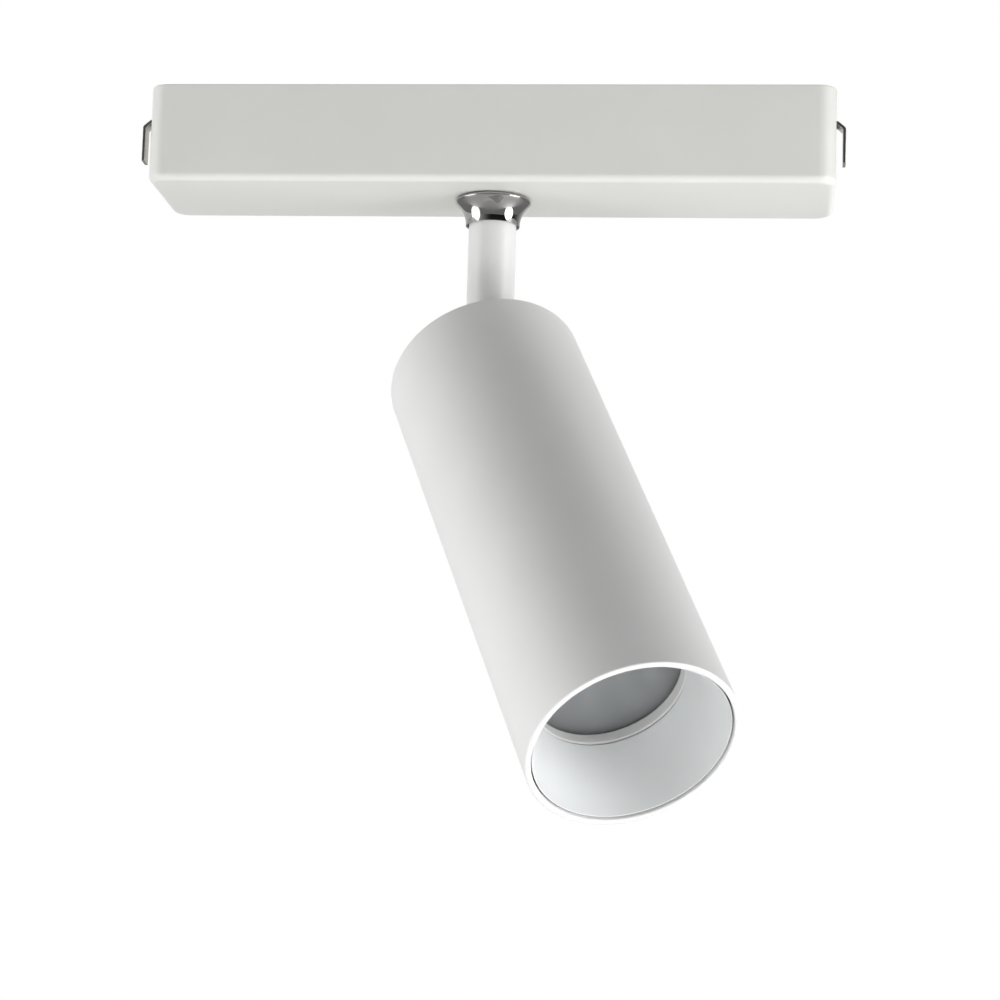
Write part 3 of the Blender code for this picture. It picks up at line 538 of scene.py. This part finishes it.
def make_contacts():
    """The insulator, and the current pins with their springs."""
    half_x, half_y = CONTACT_HALF
    wide_x, wide_y = (half + CONTACT_FLANGE for half in CONTACT_HALF)
    ledge = -COVER_THICKNESS - GAP
    base = block("contact_housing", (CONTACT_X - wide_x, -wide_y, CONTACT_BOTTOM),
                 (CONTACT_X + wide_x, wide_y, ledge), 0.25 * MM)
    plateau = block("plateau", (CONTACT_X - half_x, -half_y, ledge - MM),
                    (CONTACT_X + half_x, half_y, CONTACT_TOP), 0.3 * MM)
    carve(base, [plateau], "UNION")
    holes = []
    for place in PINS:
        holes.append(rod("hole", PIN_HOLE, PIN_STEP - MM, 2 * MM, 32, place))
        holes.append(rod("hole", SPRING_HOLE, CONTACT_BOTTOM - MM, PIN_STEP, 32, place))
    carve(base, holes)
    finished(base, "module", "black_plastic", "contact_block")
    for i, place in enumerate(PINS, 1):
        profile = [
            (0.0, PIN_NOSE),
            (0.6 * MM, PIN_NOSE - 0.15 * MM, 0.6 * MM),
            (PIN_RADIUS, PIN_NOSE - 0.6 * MM, 0.5 * MM),
            (PIN_RADIUS, PIN_SHOULDER),
            (PIN_COLLAR, PIN_SHOULDER),
            (PIN_COLLAR, PIN_SEAT),
            (PIN_TAIL_RADIUS, PIN_SEAT),
            (PIN_TAIL_RADIUS, PIN_TAIL),
            (0.0, PIN_TAIL),
        ]
        pin = lathe(f"current_pin_{i}", soften(profile, 0.08 * MM, 4, closed=False), 40, place)
        finished(pin, f"pin_{i}", "brass", f"contact_pin_{i}")
        spring = coil(f"coil_spring_{i}", place, SPRING_RADIUS, SPRING_WIRE, *SPRING_LINE, SPRING_TURNS)
        finished(spring, "module", "steel", f"pin_spring_{i}", sharp=60.0)
        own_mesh(spring)


def make_latches():
    """Each strip is folded over the end wall: a leg inside, the bend through the slot, and a leg outside."""
    for name, side in (("left", -1), ("right", 1)):
        x, y, z = side * LATCH_BEND[0], LATCH_BEND[1], LATCH_BEND[2]
        offset = 20.0 * MM  # keeps the line clear of the axis while its corners are rounded
        points = [(px * MM + offset, pz * MM, bend * MM) for px, pz, bend in LATCH_LINE]
        line = soften(points, 0.0, 5, closed=False)
        line = [Vector((px - offset, pz)) for px, pz in line]
        edges = []
        for distance in (LATCH_SHEET / 2, -LATCH_SHEET / 2):
            edge = []
            for i, point in enumerate(line):
                ahead = line[min(i + 1, len(line) - 1)] - line[max(i - 1, 0)]
                normal = Vector((-ahead.y, ahead.x)).normalized()
                edge.append(point + normal * distance)
            edges.append(edge)
        outline = edges[0] + edges[1][::-1]
        loops = [[(x + side * px, y + across, z + pz) for px, pz in outline]
                 for across in (-LATCH_WIDTH / 2, LATCH_WIDTH / 2)]
        strip = stack(f"latch_strip_{name}", loops)
        bevel = strip.modifiers.new("Edges", "BEVEL")
        bevel.width = 0.07 * MM
        bevel.segments = 2
        bevel.limit_method = "ANGLE"
        bevel.angle_limit = math.radians(50)
        finished(strip, f"{name}_latch", "steel", f"latch_{name}", sharp=40.0)


def make_collar():
    """A thin round lip under the module, then a flare that narrows down to the stem."""
    top = -BOX_HEIGHT - GAP
    throat = STEM_RADIUS + 0.75 * MM
    reach = COLLAR_RADIUS - 0.35 * MM - throat
    profile = soften([(STEM_RADIUS + GAP, top, 0.1 * MM), (COLLAR_RADIUS - 0.2 * MM, top, 0.25 * MM),
                      (COLLAR_RADIUS, top - 0.5 * MM, 0.45 * MM),
                      (COLLAR_RADIUS - 0.35 * MM, top - MM, 0.3 * MM)], 0.2 * MM, 6, closed=False)
    steps = 24
    for step in range(1, steps + 1):
        part = step / steps
        profile.append((throat + reach * (1 - part) ** 2.2, top - MM - COLLAR_FLARE * part))
    foot = profile[-1][1]
    profile += [(throat - 0.12 * MM, foot), (STEM_RADIUS + GAP, foot + 0.1 * MM)]
    finished(lathe("swivel_collar", profile, 160), "module", "chrome", "chrome_collar", sharp=50.0)


# ---------------------------------------------------------------- stem and hinge

def make_stem():
    """The pipe: a thinner shank in the module, and a counterbore that takes the fork's spigot."""
    bottom = PIVOT.z + 8.3 * MM
    spigot_end = bottom + 7.8 * MM
    profile = [
        (SHANK_RADIUS, SHANK_TOP),
        (SHANK_RADIUS, -BOX_HEIGHT - GAP, 0.0),
        (STEM_RADIUS, -BOX_HEIGHT - GAP),
        (STEM_RADIUS, bottom, 0.35 * MM),
        (SHANK_RADIUS, bottom),
        (SHANK_RADIUS, spigot_end),
        (STEM_BORE, spigot_end),
        (STEM_BORE, SHANK_TOP),
    ]
    finished(lathe("stem_pipe", soften(profile, 0.15 * MM), 128), "stem", "white_paint", "stem_tube",
             place=STEM)


def make_hinge():
    """A ball-ended bar milled to a fork, its cross screw, nut and washers."""
    slot = 3.3 * MM
    base = 6.0 * MM
    ball = arc((0.0, 0.0), STEM_RADIUS, 0, -90, 16)
    profile = [(0.0, 8 * MM), (STEM_RADIUS - 0.3 * MM, 8 * MM), (STEM_RADIUS, 7.7 * MM), *ball[:-1],
               (0.0, -STEM_RADIUS)]
    fork = lathe("hinge_ball", profile, 96)
    carve(fork, [rod("spigot", SHANK_RADIUS - GAP, 7 * MM, 15.5 * MM, 48)], "UNION")
    carve(fork, [block("slot", (-slot, -7 * MM, -8 * MM), (slot, 7 * MM, base)),
                 rod("lead", 1.6 * MM, base - MM, 17 * MM, 32),
                 moved(rod("pin", HINGE_HOLE, -8 * MM, 8 * MM, 32), ACROSS)])
    finished(fork, "stem", "steel", "hinge_fork", place=HINGE)
    outside = STEM_RADIUS + GAP
    head_top = outside + 1.9 * MM
    shank = HINGE_HOLE - GAP
    shank_end = -outside - 2.9 * MM
    profile = [
        (0.0, head_top),
        (1.9 * MM, head_top, 0.5 * MM),
        (2.8 * MM, outside + 1.2 * MM, 0.5 * MM),
        (2.8 * MM, outside),
        (shank, outside),
        (shank, shank_end, 0.3 * MM),
        (0.0, shank_end),
    ]
    screw = lathe("cross_screw", soften(profile, 0.1 * MM, 4, closed=False), 48)
    key = prism("key", hexagon(2.0 * MM), outside + 0.8 * MM, outside + 3 * MM)
    carve(screw, [key])
    finished(screw, "stem", "steel", "hinge_screw", place=HINGE @ ACROSS)
    nut_half = 1.2 * MM
    nut = prism("cross_nut", hexagon(5.5 * MM), -nut_half, nut_half)
    cone = [(0.0, 1.3 * MM), (2.8 * MM, 1.3 * MM), (3.4 * MM, 0.85 * MM), (3.4 * MM, -0.85 * MM),
            (2.8 * MM, -1.3 * MM), (0.0, -1.3 * MM)]
    carve(nut, [lathe("cone", cone, 48)], "INTERSECT")
    carve(nut, [rod("hole", HINGE_HOLE, -3 * MM, 3 * MM, 32)])
    to_nut = Matrix.Translation((-outside - nut_half, 0.0, 0.0))
    finished(nut, "stem", "steel", "hinge_nut", place=HINGE @ to_nut @ ACROSS)
    rim = 4.2 * MM
    for name, low in (("left", -3.0 * MM), ("right", 2.5 * MM)):
        high = low + 0.5 * MM
        profile = [(rim, high), (rim, low), (HINGE_HOLE, low), (HINGE_HOLE, high)]
        washer = lathe(f"friction_washer_{name}", soften(profile, 0.1 * MM, 3), 64)
        finished(washer, "stem", "steel", f"hinge_washer_{name}", place=HINGE @ ACROSS)


def hexagon(across_flats):
    """The outline of a regular hexagon."""
    return arc((0.0, 0.0), across_flats / math.sqrt(3), 0, 300, 5)


# ---------------------------------------------------------------- head

def at(station):
    """The height, in the head's own frame, of a station along the head."""
    return RIM_ABOVE_PIVOT - station * MM


def make_tube():
    end = HEAD_LENGTH / MM
    profile = [
        (HEAD_RADIUS, at(0.0)),
        (HEAD_RADIUS, at(end)),
        (HEAD_BORE, at(end)),
        (HEAD_BORE, at(0.0)),
    ]
    finished(lathe("lamp_barrel", soften(profile, 0.35 * MM, 5), 192), "head", "white_paint", "lamp_tube",
             place=HEAD)


def make_rear_cap():
    """The cap with the lug that the fork holds, its two screws, and the grommet for the lead."""
    face, low = at(CAP_FACE), at(CAP_BACK)
    edge = HEAD_BORE - GAP
    profile = [(0.0, face), (edge, face, 0.4 * MM), (edge, low), (0.0, low)]
    cap = lathe("end_cap", soften(profile, 0.15 * MM, 4, closed=False), 128)
    foot = face - MM
    outline = [(-LUG_RADIUS, foot), (LUG_RADIUS, foot), *arc((0.0, 0.0), LUG_RADIUS, 0, 180, 24)]
    lug = prism("lug", outline, -LUG_HALF, LUG_HALF)
    moved(lug, Matrix.Rotation(math.pi / 2, 4, "Z") @ Matrix.Rotation(math.pi / 2, 4, "X"))
    carve(cap, [lug], "UNION")
    holes = [moved(rod("hole", HINGE_HOLE, -4 * MM, 4 * MM, 32), ACROSS),
             rod("hole", LEAD_HOLE, low - MM, face + MM, 40, LEAD)]
    holes += [countersunk_hole(CAP_SCREW_HEAD, CAP_SCREW_SHANK, face, 4 * MM, (x, 0.0)) for x in CAP_SCREWS]
    carve(cap, holes)
    finished(cap, "head", "aluminium", "rear_cap", place=HEAD)
    flange, sleeve, bore = 3.3 * MM, LEAD_HOLE - GAP, 1.4 * MM
    crown = face + 1.1 * MM
    profile = [
        (flange, crown, 0.4 * MM),
        (flange, face + GAP),
        (sleeve, face + GAP),
        (sleeve, low),
        (bore, low),
        (bore, crown, 0.3 * MM),
    ]
    finished(lathe("lead_grommet", soften(profile, 0.1 * MM), 48, LEAD), "head", "rubber", "cable_grommet",
             place=HEAD)
    for i, x in enumerate(CAP_SCREWS, 1):
        make_screw(f"cap_screw_{i}", CAP_SCREW_HEAD, CAP_SCREW_SHANK, face - 0.2 * MM, 12.5 * MM, (x, 0.0),
                   "head", HEAD)


def make_optics():
    """The lens, the ring that holds it, and the mirror cup behind it."""
    profile = [
        (0.0, at(LENS_BACK)),
        (LENS_RADIUS, at(LENS_BACK), 0.25 * MM),
        (LENS_RADIUS, at(LENS_FACE), 0.25 * MM),
        (0.0, at(LENS_FACE)),
    ]
    finished(lathe("lens_disc", soften(profile, 0.2 * MM, 4, closed=False), 128), "head", "glass", "lens",
             place=HEAD)
    inner, outer = RING_RADII
    profile = [(outer, at(RING_BACK)), (outer, at(RING_FACE)), (inner, at(RING_FACE), 0.5 * MM),
               (inner, at(RING_BACK))]
    finished(lathe("lens_bezel", soften(profile, 0.15 * MM, 5), 128), "head", "white_plastic",
             "lens_ring", place=HEAD)
    start, end = MIRROR_ENDS
    neck, mouth = MIRROR_RADII
    inside = []
    steps = 24
    for step in range(steps + 1):
        part = step / steps
        inside.append((math.sqrt(neck**2 + (mouth**2 - neck**2) * part), at(start + (end - start) * part)))
    outside = [(radius + 0.8 * MM, height) for radius, height in inside]
    outside[-1] = (outside[-1][0], at(end - 1.0))
    flange = [(MIRROR_FLANGE, at(end - 1.0)), (MIRROR_FLANGE, at(end))]
    finished(lathe("mirror_cup", [*outside, *flange, *inside[::-1]], 128), "head", "chrome", "reflector",
             place=HEAD, look="mirror")


def make_baffle():
    """The white cone from the lens to the mouth, with a short skirt behind its lip."""
    mouth = HEAD_LENGTH / MM - 0.7
    profile = [
        (APERTURE_RADIUS + 1.3 * MM, at(APERTURE_STATION)),
        (BAFFLE_LIP, at(mouth - 4.2)),
        (BAFFLE_LIP, at(mouth), 0.12 * MM),
        (BAFFLE_LIP - 0.2 * MM, at(mouth), 0.12 * MM),
        (APERTURE_RADIUS, at(APERTURE_STATION), 0.2 * MM),
    ]
    cone = lathe("glare_cone", soften(profile, 0.1 * MM, 5), 192)
    finished(cone, "head", "white_paint", "front_baffle", place=HEAD, look="cool_paint")


# ---------------------------------------------------------------- CAD nodes that stay

def finish_carried_nodes():
    """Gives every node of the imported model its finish. Those replaced by finer pieces don't show."""
    slots = {part["node"]: part["material_slot"] for part in frame["record"]["subparts"]}
    for name, obj in frame["nodes"].items():
        for slot in obj.material_slots:
            slot.material = FINISHES[slots[name]]


# ---------------------------------------------------------------- stage, light, camera

# How bright the room is towards the low and the high end of each axis, except to the camera, which
# sees plain white
ROOM_LEVELS = {"X": (0.83, 0.02), "Y": (0.02, 0.73), "Z": (0.02, 0.24)}
# Place, size, power in watts, and whether polished metal mirrors it, of each soft light
LIGHTS = {
    "left_box": ((-0.85, -0.30, -0.15), (0.7, 0.9), 3.97, True),
    "right_box": ((0.85, -0.25, -0.20), (0.6, 0.8), 7.07, True),
    "low_fill": ((0.0, -0.35, -0.52), (0.6, 0.4), 1.6, False),
    "back_low": ((0.15, 0.50, -0.50), (0.8, 0.4), 0.8, False),
}
LIGHT_TARGET = (0.0, 0.0, -0.08)
FLOOR_HEIGHT = -0.55
FLOOR_HALF = 4.0

# Lens and sensor in millimetres, place in metres, and turns about Z, X and Y from a level view along +Y
CAMERA_LENS = 99.45
CAMERA_SENSOR = 36.0
CAMERA_PLACE = (0.06393, -0.63044, -0.19494)
CAMERA_TURNS = (("Z", 0.0953), ("X", 0.1569), ("Y", -0.0299))


def add_light(name, place, size, power, mirrored):
    """An oval area light that faces the object."""
    data = bpy.data.lights.new(name, "AREA")
    data.shape = "ELLIPSE"
    data.size, data.size_y = size
    data.energy = power
    light = bpy.data.objects.new(name, data)
    light.location = place
    light.rotation_euler = (Vector(LIGHT_TARGET) - Vector(place)).to_track_quat("-Z", "Y").to_euler()
    light.visible_camera = False
    light.visible_glossy = mirrored
    bpy.context.scene.collection.objects.link(light)


def make_stage():
    """The floor, the room's light, which differs by direction, and the area lights."""
    bm = bmesh.new()
    bmesh.ops.create_grid(bm, x_segments=1, y_segments=1, size=FLOOR_HALF)
    floor = object_from("floor", bm)
    floor.location.z = FLOOR_HEIGHT
    floor.data.materials.append(finish("floor", shades((0.86, 0.86, 0.86), 0.01), (0.8, 0.9),
                                       mottle=3, grain=60))

    world = bpy.data.worlds.new("studio")
    world.use_nodes = True
    bpy.context.scene.world = world
    tree = world.node_tree
    tree.nodes.clear()
    place = node(tree, "ShaderNodeTexCoord")
    split = node(tree, "ShaderNodeSeparateXYZ")
    tree.links.new(place.outputs["Generated"], split.inputs[0])
    total = None
    for axis, (behind, ahead) in ROOM_LEVELS.items():
        side = node(tree, "ShaderNodeMath", operation="GREATER_THAN")
        side.inputs[1].default_value = 0.0
        tree.links.new(split.outputs[axis], side.inputs[0])
        square = node(tree, "ShaderNodeMath", operation="MULTIPLY")
        tree.links.new(split.outputs[axis], square.inputs[0])
        tree.links.new(split.outputs[axis], square.inputs[1])
        part = node(tree, "ShaderNodeMath", operation="MULTIPLY")
        tree.links.new(spread(tree, side.outputs[0], behind, ahead, 0.0, 1.0), part.inputs[0])
        tree.links.new(square.outputs[0], part.inputs[1])
        if total is not None:
            both = node(tree, "ShaderNodeMath", operation="ADD")
            tree.links.new(total, both.inputs[0])
            tree.links.new(part.outputs[0], both.inputs[1])
            part = both
        total = part.outputs[0]
    room = node(tree, "ShaderNodeBackground", Color=(1.0, 1.0, 1.0, 1.0))
    tree.links.new(total, room.inputs["Strength"])
    white = node(tree, "ShaderNodeBackground", Color=(1.0, 1.0, 1.0, 1.0))
    path = node(tree, "ShaderNodeLightPath")
    mix = node(tree, "ShaderNodeMixShader")
    tree.links.new(path.outputs["Is Camera Ray"], mix.inputs[0])
    tree.links.new(room.outputs[0], mix.inputs[1])
    tree.links.new(white.outputs[0], mix.inputs[2])
    output = node(tree, "ShaderNodeOutputWorld")
    tree.links.new(mix.outputs[0], output.inputs["Surface"])

    for name, (place, size, power, mirrored) in LIGHTS.items():
        add_light(name, place, size, power, mirrored)


def make_camera():
    data = bpy.data.cameras.new("camera")
    data.sensor_width = CAMERA_SENSOR
    data.lens = CAMERA_LENS
    data.clip_start = 0.01
    camera = bpy.data.objects.new("camera", data)
    place = Matrix.Translation(CAMERA_PLACE)
    for axis, angle in CAMERA_TURNS:
        place @= Matrix.Rotation(angle, 4, axis)
    camera.matrix_world = place @ Matrix.Rotation(math.pi / 2, 4, "X")
    bpy.context.scene.collection.objects.link(camera)
    bpy.context.scene.camera = camera


make_camera()
finish_carried_nodes()
make_housing()
make_cover()
make_contacts()
make_latches()
make_collar()
make_stem()
make_hinge()
make_tube()
make_rear_cap()
make_optics()
make_baffle()
make_stage()
bpy.context.scene.view_settings.view_transform = "Standard"
